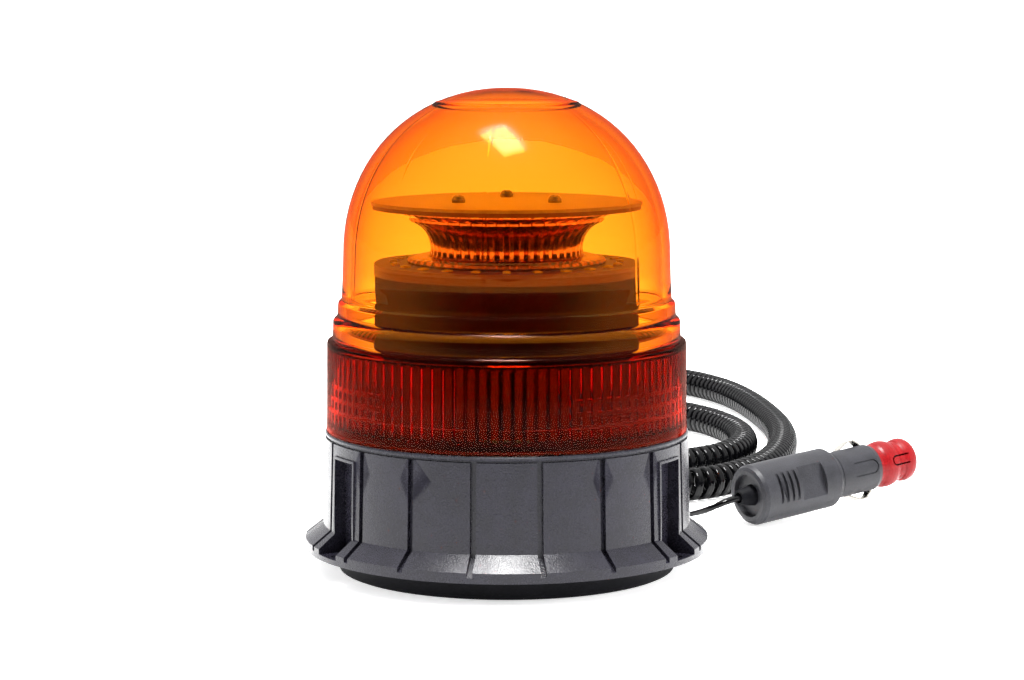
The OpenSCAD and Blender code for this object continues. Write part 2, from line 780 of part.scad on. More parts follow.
module plug_grip() {
    // Four finger grooves and the flat pad, on the front side
    for (i = [0:3])
        translate([8.2 + i * 3, -handle_r - 1, -handle_r]) cube([1.3, 2.8, handle_d]);
    translate([20.5, -handle_r - 1, -handle_r]) cube([13, 3.2, handle_d]);
}

module tongue_groove() {
    // The U-shaped groove around the barrel's tongue
    width = 6.4;
    length = 13;
    translate([barrel_end - 15.5, -barrel_r - 1, 0])
        rotate([-90, 0, 0])
            linear_extrude(height = 1.8)
                difference() {
                    union() {
                        translate([0, -width / 2]) square([length - width / 2, width]);
                        translate([length - width / 2, 0]) circle(d = width);
                    }
                    union() {
                        translate([-1, -width / 2 + 0.6]) square([length + 1 - width / 2, width - 1.2]);
                        translate([length - width / 2, 0]) circle(d = width - 1.2);
                    }
                }
}

module plug_shell_front()
    color(colour_plug)
        at_plug()
            difference() {
                plug_body();
                translate([-5, 0, -20]) cube([120, 40, 40]);
                plug_grip();
                tongue_groove();
            }

module plug_shell_rear()
    color(colour_plug)
        at_plug()
            difference() {
                plug_body();
                translate([-5, -40, -20]) cube([120, 40, 40]);
                translate([32, handle_r - 2, 0])
                    rotate([-90, 0, 0])
                        cylinder(r = 2.7, h = 4, $fn = 32);
                translate([32, 5, 0]) rotate([-90, 0, 0]) cylinder(r = 1.3, h = 10, $fn = 32);
            }

module plug_screw()
    color(colour_steel)
        at_plug()
            translate([32, handle_r - 2, 0])
                rotate([-90, 0, 0])
                    pan_screw(2.5, 1.6, 1.25, 4);

module adapter_spigot()
    color(colour_plug)
        at_plug()
            turned_on_plug([[barrel_end - spigot_foot, tip_bore_r],
                [barrel_end - spigot_foot, plug_spigot_r], [plug_spigot_end - 0.8, plug_spigot_r],
                [plug_spigot_end, plug_spigot_r - 0.8], [plug_spigot_end, tip_r + tip_fit],
                [plug_spigot_end - tip_wall, tip_r + tip_fit], [plug_spigot_end - tip_wall, tip_bore_r]]);

module adapter() {
    inner_r = plug_spigot_r + 0.3;
    mouth_r = plug_spigot_r - 0.6;
    color(colour_red)
        at_plug()
            difference() {
                turned_on_plug(concat(
                    [[adapter_x, inner_r], [adapter_x, 9], [adapter_x + 1.2, 8.9]],
                    [for (a = [150:-20:30]) [adapter_x + 6.4 + 4.6 * cos(a), 8.2 + 2.1 * sin(a)]],
                    [[adapter_x + 11.8, 8.3]],
                    [for (a = [150:-20:30]) [adapter_end - 4 + 3.6 * cos(a), 7.5 + 2.1 * sin(a)]],
                    [[adapter_end - 0.4, 8.1], [adapter_end, 7.6], [adapter_end, mouth_r],
                        [adapter_end - 3.4, mouth_r],
                        [adapter_end - 3.4, inner_r]]));
                // The U-shaped cut that frees the snap tongue
                translate([adapter_x + 5.5, -12, 0])
                    rotate([-90, 0, 0])
                        linear_extrude(height = 12 - inner_r + 0.6)
                            difference() {
                                union() {
                                    translate([2.3, -2.3]) square([8, 4.6]);
                                    translate([2.3, 0]) circle(r = 2.3);
                                }
                                union() {
                                    translate([2.3, -1.6]) square([9, 3.2]);
                                    translate([2.3, 0]) circle(r = 1.6);
                                }
                            }
            }
}

module fuse()
    color("#dfe4e8")
        at_plug()
            plug_rod(fuse_r, fuse_x, fuse_x + fuse_len);

module tip_spring() {
    turns = 6;
    steps = 10;
    wire = 0.35;
    radius = 2.7;
    x0 = fuse_x + fuse_len;
    length = tip_flange_x - x0;
    color(colour_steel)
        at_plug()
            spring_wire([for (i = [0:turns * steps])
                [x0 + wire + (length - 2 * wire) * i / (turns * steps),
                    radius * cos(i * 360 / steps), radius * sin(i * 360 / steps)]], wire, 6);
}

module spring_wire(route, radius, sides) {
    count = len(route);
    points = [for (i = [0:count - 1])
        let (dir = path_dir(route, i), side = unit(cross(dir, [1, 0, 0])), up = cross(side, dir))
        for (k = [0:sides - 1]) let (a = k * 360 / sides)
            route[i] + radius * (cos(a) * side + sin(a) * up)];
    walls = [for (i = [0:count - 2], k = [0:sides - 1])
        let (n = (k + 1) % sides)
        each [[i * sides + k, i * sides + n, (i + 1) * sides + n],
            [i * sides + k, (i + 1) * sides + n, (i + 1) * sides + k]]];
    first = [[for (k = [sides - 1:-1:0]) k]];
    last = [[for (k = [0:sides - 1]) (count - 1) * sides + k]];
    polyhedron(points = points, faces = concat(first, walls, last), convexity = 10);
}

module tip_contact()
    color(colour_steel)
        at_plug()
            turned_on_plug([[tip_flange_x, 0], [tip_flange_x, tip_flange_r],
                [tip_flange_x + tip_flange_t - 0.1, tip_flange_r], [tip_flange_x + tip_flange_t - 0.1, tip_r],
                [adapter_end + tip_proud - 1.2, tip_r], [adapter_end + tip_proud, tip_r - 1.3],
                [adapter_end + tip_proud, 0]]);

// A bowed strip, hinged at its rear end and standing proud of the barrel in the middle
module leaf()
    translate([leaf_x, 0, leaf_root_r])
        rotate([90, 0, 0])
            linear_extrude(height = leaf_w, center = true)
                let (rise = barrel_r + leaf_proud - leaf_root_r)
                polygon([[0, 0], [3, 0.6], [10.4, rise - leaf_t], [13, rise - leaf_t], [15.6, rise - 2.6],
                    [leaf_len - 1.4, 0], [leaf_len - 0.7, 0], [16.4, rise - 2.3], [13.4, rise],
                    [10.2, rise], [2.8, 0.6 + leaf_t], [0, leaf_t]]);

module side_contact_upper()
    color(colour_steel)
        at_plug() leaf();

module side_contact_lower()
    color(colour_steel)
        at_plug() mirror([0, 0, 1]) leaf();

// ---- nodes ---------------------------------------------------------------------------------

base_housing();
lens_seal();
rubber_boot();
magnet_ring();
magnet_plate();
foot_screws();
driver_board();
driver_components();
board_screws();
inner_leads();
riser_drum();
riser_screws();
heat_spreader();
lower_led_board();
lower_leds();
board_leads();
reflector();
standoffs();
upper_led_board();
upper_leds();
top_plate();
top_screws();
lens();
cable_gland();
cord_lead();
curly_cord();
cord_tail();
plug_relief();
plug_shell_front();
plug_shell_rear();
plug_screw();
adapter_spigot();
adapter();
fuse();
tip_spring();
tip_contact();
side_contact_upper();
side_contact_lower();
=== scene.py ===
"""LED warning beacon on its magnetic foot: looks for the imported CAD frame, in metres."""

import math

import bmesh
import bpy
from mathutils import Matrix, Vector


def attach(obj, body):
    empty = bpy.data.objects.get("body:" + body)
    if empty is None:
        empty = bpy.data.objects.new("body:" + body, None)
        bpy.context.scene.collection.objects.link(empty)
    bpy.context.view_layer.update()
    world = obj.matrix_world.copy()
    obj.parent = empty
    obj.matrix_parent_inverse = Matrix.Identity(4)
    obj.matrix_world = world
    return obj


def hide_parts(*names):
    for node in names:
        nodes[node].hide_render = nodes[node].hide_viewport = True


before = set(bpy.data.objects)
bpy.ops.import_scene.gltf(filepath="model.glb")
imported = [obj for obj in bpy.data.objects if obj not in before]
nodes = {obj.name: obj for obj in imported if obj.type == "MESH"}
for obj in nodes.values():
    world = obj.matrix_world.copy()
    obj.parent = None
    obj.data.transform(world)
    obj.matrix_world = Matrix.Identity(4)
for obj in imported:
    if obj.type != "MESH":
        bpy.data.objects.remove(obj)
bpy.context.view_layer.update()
MM = 0.001


# ---- camera ----------------------------------------------------------------------------------


FOCAL_MM, SENSOR_MM, SIDE_SHIFT = 98.55, 36.0, 0.0052
CAMERA_BACK, CAMERA_UP, CAMERA_TIP = 1.09867, 0.2272, math.radians(7.1)
FAR_CLIP = 500.0


def place_camera():
    """A long lens, a little above the dome, tipped down on the lamp."""
    data = bpy.data.cameras.new("camera")
    data.lens = FOCAL_MM
    data.sensor_width = SENSOR_MM
    data.shift_x = SIDE_SHIFT
    data.clip_end = FAR_CLIP
    camera = bpy.data.objects.new("camera", data)
    camera.location = (0.0, -CAMERA_BACK, CAMERA_UP)
    camera.rotation_euler = (math.pi / 2 - CAMERA_TIP, 0.0, 0.0)
    bpy.context.scene.collection.objects.link(camera)
    bpy.context.scene.camera = camera


# ---- cord ------------------------------------------------------------------------------------

# Millimetres. The turns are drawn a little apart, so a core is narrower than a quarter of the lead.
LEAD_WIDTH = 4.4
CORE_HALF, CORE_THICK, GROOVE_SHARE = LEAD_WIDTH / 4.6, LEAD_WIDTH / 3.6, 0.8
COIL_RADIUS = 6.2
COIL_PITCH = 5.2
POINTS_PER_TURN = 15
COIL_Z = 7.5
LEAD_DROP = 1.06
LEAD_STEP = 4.0
CURVE_PARTS = 24

lead_route = [
    (-48, 64.1, 27.2), (-57, 76, 27.2), (-62, 83, 26.2), (-67, 91, 22), (-71, 101, 15),
    (-73, 112, 8), (-74, 125, 4), (-73, 142, 2.4), (-69, 160, 2.4), (-62, 175, 2.8),
    (-53, 186, 4.5), (-44, 191, 6.5), (-35, 193, 8.7),
]  # fmt: skip
coil_route = [
    (-35, 193), (-10, 191), (20, 187), (50, 187), (72, 190), (88, 200), (102, 215), (112, 237),
    (116, 262), (115, 286), (110, 310), (100, 335), (84, 355), (60, 367), (30, 371), (0, 372),
    (-28, 380), (-50, 402), (-58, 432), (-50, 464), (-28, 487), (0, 497), (35, 499), (70, 491),
    (100, 473), (118, 440), (128, 400), (134, 355), (137, 310), (136, 268), (130, 225), (119, 188),
    (103, 160), (86, 143), (62, 136), (36, 136), (12, 138),
]  # fmt: skip
tail_route = [
    (12, 138, 8.7), (2, 138, 6.7), (-8, 136, 4.4), (-17, 129, 2.4), (-20, 120, 2.4), (-17, 111, 2.4),
    (-8, 106, 2.4), (4, 104, 2.4), (18, 104, 2.4), (32, 104, 2.4), (46, 103, 2.4), (58, 101, 2.4),
    (68, 98, 2.6), (76, 93, 3.8), (81, 87, 5.6), (85, 80, 8.2), (89, 76, 10.8),
]  # fmt: skip

PLUG_REAR = Vector((103, 82, 13))
PLUG_YAW, PLUG_LIFT, PLUG_ROLL = math.radians(33), math.radians(5.4), math.radians(16)
plug_turn = (
    Matrix.Rotation(PLUG_YAW, 3, "Z")
    @ Matrix.Rotation(-PLUG_LIFT, 3, "Y")
    @ Matrix.Rotation(-PLUG_ROLL, 3, "X")
)


def plug_point(x, y=0.0, z=0.0):
    """A point given along and across the plug, in millimetres of the row frame."""
    return PLUG_REAR + plug_turn @ Vector((x, y, z))


def smooth(route, step):
    """The route as a smooth line with points a fixed step apart, in millimetres."""
    route = [Vector(p) for p in route]
    fine = []
    for i in range(len(route) - 1):
        a, b = route[max(i - 1, 0)], route[i]
        c, d = route[i + 1], route[min(i + 2, len(route) - 1)]
        for k in range(CURVE_PARTS):
            t = k / CURVE_PARTS
            fine.append(
                0.5 * (2 * b + (c - a) * t + (2 * a - 5 * b + 4 * c - d) * t * t
                       + (3 * b - a - 3 * c + d) * t * t * t)
            )  # fmt: skip
    fine.append(route[-1])
    line, left = [fine[0]], step
    for a, b in zip(fine, fine[1:]):
        gap = (b - a).length
        while gap > left:
            a = a + (b - a) * (left / gap)
            line.append(a)
            gap, left = gap - left, step
        left -= gap
    if (line[-1] - fine[-1]).length > step / 2:
        line.append(fine[-1])
    return line


def cord_line():
    """Centreline of the whole lead and the direction of its thin side at each point."""
    up = Vector((0, 0, 1))
    line = [(p - LEAD_DROP * up, up) for p in smooth(lead_route, LEAD_STEP)]
    axis = smooth([(x, y, COIL_Z) for x, y in coil_route], COIL_PITCH / POINTS_PER_TURN)[1:]
    last = len(axis) - 1
    for i, centre in enumerate(axis):
        ahead = (axis[min(i + 1, last)] - axis[max(i - 1, 0)]).normalized()
        side = ahead.cross(up)
        turn = 2 * math.pi * i / POINTS_PER_TURN
        out = math.cos(turn) * side + math.sin(turn) * up
        grown = min(1.0, i / POINTS_PER_TURN, (last - i) / POINTS_PER_TURN)
        grown = grown * grown * (3 - 2 * grown)
        line.append((centre + COIL_RADIUS * grown * out, up.lerp(out, grown)))
    tail = [Vector(p) - LEAD_DROP * up for p in tail_route]
    tail += [plug_point(-9.5), plug_point(-5), plug_point(2), plug_point(10)]
    line += [(p, up) for p in smooth(tail, LEAD_STEP)[1:]]
    return line


def build_cord():
    """Flat twin-core lead: two cores side by side, with a shallow groove between them."""
    section = [(CORE_HALF + CORE_HALF * math.cos(a), CORE_THICK * math.sin(a))
               for a in (math.radians(d) for d in range(-115, 116, 46))]  # fmt: skip
    section += [(0.0, CORE_THICK * GROOVE_SHARE)]
    section += [(-x, -z) for x, z in section[:-1]]
    section += [(0.0, -CORE_THICK * GROOVE_SHARE)]
    line = cord_line()
    sides = len(section)
    points, faces = [], []
    for i, (centre, thin) in enumerate(line):
        ahead = (line[min(i + 1, len(line) - 1)][0] - line[max(i - 1, 0)][0]).normalized()
        wide = ahead.cross(thin).normalized()
        thin = wide.cross(ahead)
        points += [(centre + x * wide + z * thin) * MM for x, z in section]
        if i:
            base = (i - 1) * sides
            for k in range(sides):
                n = (k + 1) % sides
                faces.append((base + k, base + sides + k, base + sides + n, base + n))
    faces += [tuple(range(sides)), tuple(range((len(line) - 1) * sides, len(line) * sides))[::-1]]
    mesh = bpy.data.meshes.new("cord")
    mesh.from_pydata(points, [], faces)
    cord = bpy.data.objects.new("cord", mesh)
    bpy.context.scene.collection.objects.link(cord)
    mend(cord)
    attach(cord, "root")
    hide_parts("cord_lead", "curly_cord", "cord_tail")
    return cord


# ---- modelling helpers -----------------------------------------------------------------------


def set_down():
    """Leaves edit mode and lets go of everything."""
    if bpy.context.mode != "OBJECT":
        bpy.ops.object.mode_set(mode="OBJECT")
    bpy.ops.object.select_all(action="DESELECT")


def take(piece):
    """Makes one piece the selected and active one."""
    set_down()
    piece.select_set(True)
    bpy.context.view_layer.objects.active = piece


def mend(piece):
    """Merges doubles, points every face outwards and smooths the shading."""
    take(piece)
    bpy.ops.object.mode_set(mode="EDIT")
    bpy.ops.mesh.select_all(action="SELECT")
    bpy.ops.mesh.remove_doubles(threshold=2e-6)
    bpy.ops.mesh.normals_make_consistent(inside=False)
    bpy.ops.object.mode_set(mode="OBJECT")
    bpy.ops.object.shade_smooth()


def pick(piece, low, high, test):
    """In edit mode, selects the vertices between two heights that pass a test of their place, in mm."""
    mesh = bmesh.from_edit_mesh(piece.data)
    for v in mesh.verts:
        v.select = low - 0.05 < v.co.z / MM < high + 0.05 and test(v.co / MM)
    mesh.select_flush_mode()
    bmesh.update_edit_mesh(piece.data)


def about(co):
    """Azimuth in degrees from the front, towards the plug's side, and the radius."""
    return math.degrees(math.atan2(co.x, -co.y)), math.hypot(co.x, co.y)


def turned(name, outline, steps, centre=(0.0, 0.0)):
    """A piece spun about an upright axis from an outline of (radius, height) in millimetres."""
    set_down()
    bpy.ops.mesh.primitive_plane_add(size=MM)
    piece = bpy.context.object
    piece.name = piece.data.name = name
    bpy.ops.object.mode_set(mode="EDIT")
    bpy.ops.mesh.merge(type="CENTER")
    here = Vector((0.0, 0.0, 0.0))
    for i, (radius, height) in enumerate(outline):
        there = Vector((centre[0], centre[1] - radius, height)) * MM
        if i:
            bpy.ops.mesh.extrude_region_move(TRANSFORM_OT_translate={"value": there - here})
        else:
            bpy.ops.transform.translate(value=there)
        here = there
    bpy.ops.mesh.select_all(action="SELECT")
    bpy.ops.mesh.spin(steps=steps, angle=2 * math.pi, axis=(0, 0, 1),
                      center=(centre[0] * MM, centre[1] * MM, 0))  # fmt: skip
    mend(piece)
    return piece


def draw_in(piece, low, high, test, by):
    """Moves the vertices that pass the test towards the lamp's axis, by a share of their radius."""
    pick(piece, low, high, test)
    bpy.ops.transform.resize(value=(1 - by, 1 - by, 1), center_override=(0, 0, 0))


# ---- lens ------------------------------------------------------------------------------------

# Millimetres, except for the counts, the dome's power and the depths, which are shares of the radius.
SHOULDER_Z, SPRING_Z, APEX_Z = 91.0, 124.0, 189.7
DOME_R, DOME_POWER = 64.3, 2.1
LENS_WALL = 3.3
CAP_R = 28.0
FLUTES = 100
FLUTE_COLUMNS = 6
FLUTED_R, FLUTED_OUT, FLUTED_TAPER = 68.3, (66, 69), 0.01
RIB_DEPTH, RIB_END_DEPTH, GRID_DEPTH, MOULD_LINE_DEPTH = 0.0106, 0.0095, 0.0112, 0.0022
RIB_FLANK_TURN = math.radians(0.42)
MOULD_LINE_GAP = 60
flute_feet, flute_tops = 59.0, 88.6
grid_rows = [(64.0, 66.0), (68.8, 70.8), (73.6, 75.6)]
grid_sectors = [(20, 77), (137, 197), (-103, -43)]


def dome_point(degrees, inset=0.0):
    """Radius and height of the dome's section at an angle above its spring line."""
    angle, power = math.radians(degrees), 2 / DOME_POWER
    return (
        (DOME_R - inset) * math.cos(angle) ** power,
        SPRING_Z + (APEX_Z - inset - SPRING_Z) * math.sin(angle) ** power,
    )


def in_grid(azimuth):
    """True where the skirt carries a grid of cross bars."""
    return any(a <= azimuth <= b or a <= azimuth + 360 <= b for a, b in grid_sectors)


def build_lens():
    """Clear moulded shell: plain outside with steps, fluted inside, a raised disc on the crown."""

    def on_crown(radius, lift=0.0):
        return radius, dome_height(radius) + lift

    outside = [(71.2, 55.5), (71.25, 56.0), (71.1, 61.5), (70.85, 89.8), (70.6, 90.6), (70.0, 91.0),
               (69.2, 91.1), (68.75, 91.5), (68.5, 95.0), (68.4, 98.6), (68.1, 99.2), (67.1, 100.2),
               (66.7, 100.5), (66.4, 105.4), (66.2, 106.0), (65.3, 106.9), (65.0, 107.4),
               (64.6, 115.0)]  # fmt: skip
    outside += [dome_point(a) for a in (*range(0, 60, 4), 61, 64)]
    outside += [on_crown(CAP_R + 0.6), (CAP_R + 0.1, dome_height(CAP_R) + 0.2),
                on_crown(CAP_R - 0.6, 0.25), on_crown(CAP_R - 1.6, 0.05)]  # fmt: skip
    outside += [on_crown(r) for r in (23, 18, 13, 8, 4, 0)]
    inside = [on_crown(r, -LENS_WALL) for r in (0, 5, 10, 15, 20, CAP_R - 3.5)]
    inside += [on_crown(CAP_R - 2.5, -LENS_WALL - 0.25), on_crown(CAP_R - 1.5, -LENS_WALL)]
    inside += [dome_point(a, LENS_WALL) for a in range(62, -1, -4)]
    inside += [(61.3, 116.0), (61.7, 109.0), (62.1, 107.4), (62.9, 106.0), (63.1, 101.6), (63.6, 100.2),
               (64.9, 99.0), (65.2, 93.0), (65.8, 91.4), (67.0, 90.2)]  # fmt: skip
    rows = [flute_tops, flute_tops - 0.8, flute_tops - 1.8, 82.0]
    for low, high in reversed(grid_rows):
        rows += [high + 0.2, high - 0.2, low + 0.2, low - 0.2]
    rows += [flute_feet + 1.6, flute_feet + 0.7, flute_feet]
    inside += [(FLUTED_R + (SHOULDER_Z - z) * FLUTED_TAPER, z) for z in rows]
    inside += [(68.8, 57.5), (68.8, 55.5), (71.2, 55.5)]
    lens = turned("amber_lens", outside + inside, FLUTES * FLUTE_COLUMNS)

    take(lens)
    bpy.ops.object.mode_set(mode="EDIT")
    step = 360 / (FLUTES * FLUTE_COLUMNS)

    def in_columns(co, *columns):
        azimuth, radius = about(co)
        low, high = FLUTED_OUT
        return low < radius < high and round(azimuth / step) % FLUTE_COLUMNS in columns

    def raised(co):
        return in_columns(co, 0, 1, 5)

    def grid_bar(co):
        return in_grid(about(co)[0]) and in_columns(co, 2, 3, 4)

    def mould_line(co):
        azimuth = about(co)[0]
        off = min((azimuth + 9 + side) % MOULD_LINE_GAP for side in (-1, 1))
        return min(off, abs(MOULD_LINE_GAP - off)) < step / 2 and inner_wall(co)

    for flank, way in ((2, 1), (4, -1)):
        pick(lens, flute_feet, flute_tops, lambda co: in_columns(co, flank))
        bpy.ops.transform.rotate(value=RIB_FLANK_TURN * way, orient_axis="Z", center_override=(0, 0, 0))
    draw_in(lens, flute_feet + 1.6, flute_tops - 1.8, raised, RIB_DEPTH)
    for height in (flute_feet + 0.7, flute_tops - 0.8):
        draw_in(lens, height, height, raised, RIB_END_DEPTH)
    for low, high in grid_rows:
        draw_in(lens, low + 0.2, high - 0.2, grid_bar, GRID_DEPTH)
    draw_in(lens, 110, 183, mould_line, MOULD_LINE_DEPTH)
    bpy.ops.object.mode_set(mode="OBJECT")
    bpy.ops.object.shade_smooth_by_angle(angle=math.radians(32))
    lens.data.materials.append(clear_amber("amber_polycarbonate", "#FFF8F0", "#FFC0B0"))
    lens.data.materials.append(clear_amber("fluted_amber_polycarbonate", "#C03630", "#FF9C90"))
    for face in lens.data.polygons:
        centre = face.center / MM
        if 55.6 < centre.z < 90 and math.hypot(centre.x, centre.y) < 69.6:
            face.material_index = 1
    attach(lens, "lens")
    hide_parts("lens")
    return lens


def dome_height(radius, inset=0.0):
    """Height of the dome's outside at a radius."""
    share = min(1.0, radius / (DOME_R - inset))
    return SPRING_Z + (APEX_Z - inset - SPRING_Z) * (1 - share**DOME_POWER) ** (1 / DOME_POWER)


def inner_wall(co):
    """True for a place on the inside of the dome."""
    radius = math.hypot(co.x, co.y)
    if co.z < SPRING_Z:
        return radius < 63.4
    return co.z < dome_height(radius) - LENS_WALL / 2


# ---- reflector -------------------------------------------------------------------------------

REFLECTOR_FLUTES = 48
REFLECTOR_COLUMNS = 6


def build_reflector():
    """Metallised trumpet between the boards: fluted throat, notched lips and a scalloped foot."""
    outline = [(39.0, 121.5), (39.2, 122.4), (38.6, 123.4), (36.0, 123.9), (32.0, 124.0), (30.6, 124.3),
               (30.0, 125.2), (29.9, 127.2), (30.2, 129.4), (30.9, 131.6), (32.0, 133.6), (33.6, 135.4),
               (35.6, 136.8), (37.6, 137.7), (38.3, 138.3), (38.3, 139.2), (38.9, 139.7), (40.8, 140.5),
               (42.0, 141.2), (42.0, 142.0), (41.6, 142.7), (38.5, 142.7), (37.0, 140.6), (35.6, 139.2),
               (33.0, 137.8), (30.4, 135.4), (28.8, 132.4), (28.2, 129.0), (28.2, 121.5),
               (39.0, 121.5)]  # fmt: skip
    piece = turned("trumpet_reflector", outline, REFLECTOR_FLUTES * REFLECTOR_COLUMNS)
    take(piece)
    bpy.ops.object.mode_set(mode="EDIT")
    step = 360 / (REFLECTOR_FLUTES * REFLECTOR_COLUMNS)
    throat = [(29.3, 124.0), (29.3, 129.0), (29.9, 131.8), (32.0, 135.3), (35.0, 137.4), (37.8, 139.4)]

    def column(co, shift=0):
        return round(about(co)[0] / step + shift) % REFLECTOR_COLUMNS

    def outer_side(co):
        radius = about(co)[1]
        for (r0, z0), (r1, z1) in zip(throat, throat[1:]):
            if z0 <= co.z <= z1:
                return radius > r0 + (r1 - r0) * (co.z - z0) / (z1 - z0)
        return radius > throat[0][0]

    draw_in(piece, 124.2, 137.9, lambda co: outer_side(co) and column(co) == 0, 0.045)
    draw_in(piece, 124.2, 137.9, lambda co: outer_side(co) and column(co) in (1, 5), 0.020)
    draw_in(piece, 121.4, 123.5, lambda co: about(co)[1] > 38 and column(co) in (0, 1, 5), 0.022)
    draw_in(piece, 138.0, 139.4, lambda co: about(co)[1] > 38 and column(co) in (0, 1), 0.018)
    draw_in(piece, 140.9, 142.2, lambda co: about(co)[1] > 41.4 and column(co, 3) in (0, 1), 0.014)
    bpy.ops.object.mode_set(mode="OBJECT")
    bpy.ops.object.shade_smooth_by_angle(angle=math.radians(28))
    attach(piece, "root")
    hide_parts("reflector")
    return piece


# ---- materials -------------------------------------------------------------------------------


def paint(code):
    """An sRGB hex colour as linear red, green, blue and alpha."""
    parts = [int(code[i : i + 2], 16) / 255 for i in (1, 3, 5)]
    return tuple(c / 12.92 if c <= 0.04045 else ((c + 0.055) / 1.055) ** 2.4 for c in parts) + (1.0,)


def add(material, kind, inputs=None, **settings):
    """Adds a node with its settings; an input takes a value or another node's output."""
    tree = material.node_tree
    made = tree.nodes.new(kind)
    for name, value in settings.items():
        setattr(made, name, value)
    for name, value in (inputs or {}).items():
        if isinstance(value, bpy.types.NodeSocket):
            tree.links.new(value, made.inputs[name])
        else:
            made.inputs[name].default_value = value
    return made


def blank(name):
    material = bpy.data.materials.new(name)
    material.use_nodes = True
    material.node_tree.nodes.clear()
    return material


def finish_with(material, surface, volume=None):
    out = {"Surface": surface.outputs[0]}
    if volume:
        out["Volume"] = volume.outputs[0]
    add(material, "ShaderNodeOutputMaterial", out)
    return material


def per_mm(millimetres):
    """Texture scale for a pattern that repeats at this size."""
    return 1 / (millimetres * MM)


def tones(material, factor, low, high, start=0.35, end=0.65):
    """Two colours spread over a pattern's middle values."""
    ramp = add(material, "ShaderNodeValToRGB", {"Fac": factor})
    ramp.color_ramp.elements[0].position = start
    ramp.color_ramp.elements[1].position = end
    ramp.color_ramp.elements[0].color = paint(low)
    ramp.color_ramp.elements[1].color = paint(high)
    return ramp.outputs["Color"]


def span(material, factor, low, high):
    """A number that runs from low to high over a pattern's middle values."""
    run = {"Value": factor, "From Min": 0.3, "From Max": 0.7, "To Min": low, "To Max": high}
    return add(material, "ShaderNodeMapRange", run).outputs["Result"]


def object_place(material):
    return add(material, "ShaderNodeTexCoord").outputs["Object"]


def noise(material, place, millimetres, detail):
    """Height of a noise whose grain has this size."""
    inputs = {"Vector": place, "Scale": per_mm(millimetres), "Detail": detail}
    return add(material, "ShaderNodeTexNoise", inputs).outputs["Fac"]


def bumped(material, height, strength, millimetres):
    """Surface direction for a pattern of this depth."""
    inputs = {"Height": height, "Strength": strength, "Distance": millimetres * MM}
    return add(material, "ShaderNodeBump", inputs).outputs["Normal"]


def times(material, value, factor, clamp=False):
    product = add(material, "ShaderNodeMath", {0: value, 1: factor}, operation="MULTIPLY", use_clamp=clamp)
    return product.outputs[0]


def blended(material, factor, first, second):
    """A mix of two surfaces."""
    return add(material, "ShaderNodeMixShader", {0: factor, 1: first.outputs[0], 2: second.outputs[0]})


def grained(name, dark, light, grain, rough, depth, smear=9.0, **sockets):
    """A moulded or cast skin: fine grain in the height, slow drift in colour and roughness."""
    material = blank(name)
    place = object_place(material)
    fine = noise(material, place, grain, 2.0)
    slow = noise(material, place, smear, 3.0)
    total = add(material, "ShaderNodeMath", {0: fine, 1: slow}, operation="ADD").outputs[0]
    half = times(material, total, 0.5)
    inputs = {
        "Base Color": tones(material, half, dark, light, 0.4, 0.6),
        "Roughness": span(material, half, rough - 0.06, rough + 0.06),
        "Normal": bumped(material, fine, depth, 0.2),
    }
    inputs.update({key.replace("_", " "): value for key, value in sockets.items()})
    return finish_with(material, add(material, "ShaderNodeBsdfPrincipled", inputs))


# How much light the dyed wall takes: little of the red, more of the green and nearly all of the blue.
DYE_COLOR, DYE_DENSITY = (0.994, 0.76, 0.01, 1.0), 610.0
CLEAR_IOR = 1.5


def clear_amber(name, tint, shine):
    """Polished injection-moulded polycarbonate, dyed through: deeper red where light runs further in it."""
    material = blank(name)
    normal = bumped(material, noise(material, object_place(material), 14.0, 1.0), 0.05, 0.5)

    def skin(kind, color):
        inputs = {"Color": paint(color), "Roughness": 0.01, "IOR": CLEAR_IOR, "Normal": normal}
        return add(material, kind, inputs)

    gloss = add(material, "ShaderNodeBsdfGlossy",
                {"Color": paint(shine), "Roughness": 0.14, "Normal": normal})  # fmt: skip
    rim = add(material, "ShaderNodeFresnel", {"IOR": CLEAR_IOR, "Normal": normal}).outputs[0]
    dyed = blended(material, times(material, rim, 3.0, True), skin("ShaderNodeBsdfRefraction", tint),
                   skin("ShaderNodeBsdfRefraction", "#D9A09A"))  # fmt: skip
    outer = blended(material, times(material, rim, 0.14), dyed, gloss)
    inside = add(material, "ShaderNodeNewGeometry").outputs["Backfacing"]
    glass = blended(material, inside, outer, skin("ShaderNodeBsdfGlass", tint))
    dye = add(material, "ShaderNodeVolumeAbsorption", {"Color": DYE_COLOR, "Density": DYE_DENSITY})
    return finish_with(material, glass, dye)


def metal(name, pattern, low, high, smooth_at, rough_at, depth):
    """Bare metal whose tone, roughness and height follow one pattern, made by a function of the material."""
    material = blank(name)
    height = pattern(material)
    inputs = {
        "Base Color": tones(material, height, low, high),
        "Metallic": 1.0,
        "Roughness": span(material, height, smooth_at, rough_at),
        "Normal": bumped(material, height, 0.1, depth),
    }
    return finish_with(material, add(material, "ShaderNodeBsdfPrincipled", inputs))


def vacuum_chrome():
    """Vacuum-metallised moulding: mirror-like with a little orange peel."""

    def peel(material):
        return noise(material, object_place(material), 2.5, 2.0)

    return metal("metallised_reflector", peel, "#B97C74", "#CC908A", 0.10, 0.2, 0.2)


def turned_aluminium():
    """Aluminium disc, face turned: fine rings about its centre, drawn coarser so that they show."""

    def rings(material):
        inputs = {"Vector": object_place(material), "Scale": per_mm(6.0), "Distortion": 0.4}
        wave = add(material, "ShaderNodeTexWave", inputs, wave_type="RINGS", rings_direction="Z")
        return wave.outputs["Fac"]

    return metal("turned_aluminium", rings, "#46281F", "#563428", 0.25, 0.4, 0.1)


def plated(name, dark, light, grain, rough):
    """Plated steel or brass: fine crystalline grain in a soft mirror."""
    return grained(name, dark, light, grain, rough, 0.15, Metallic=1.0)


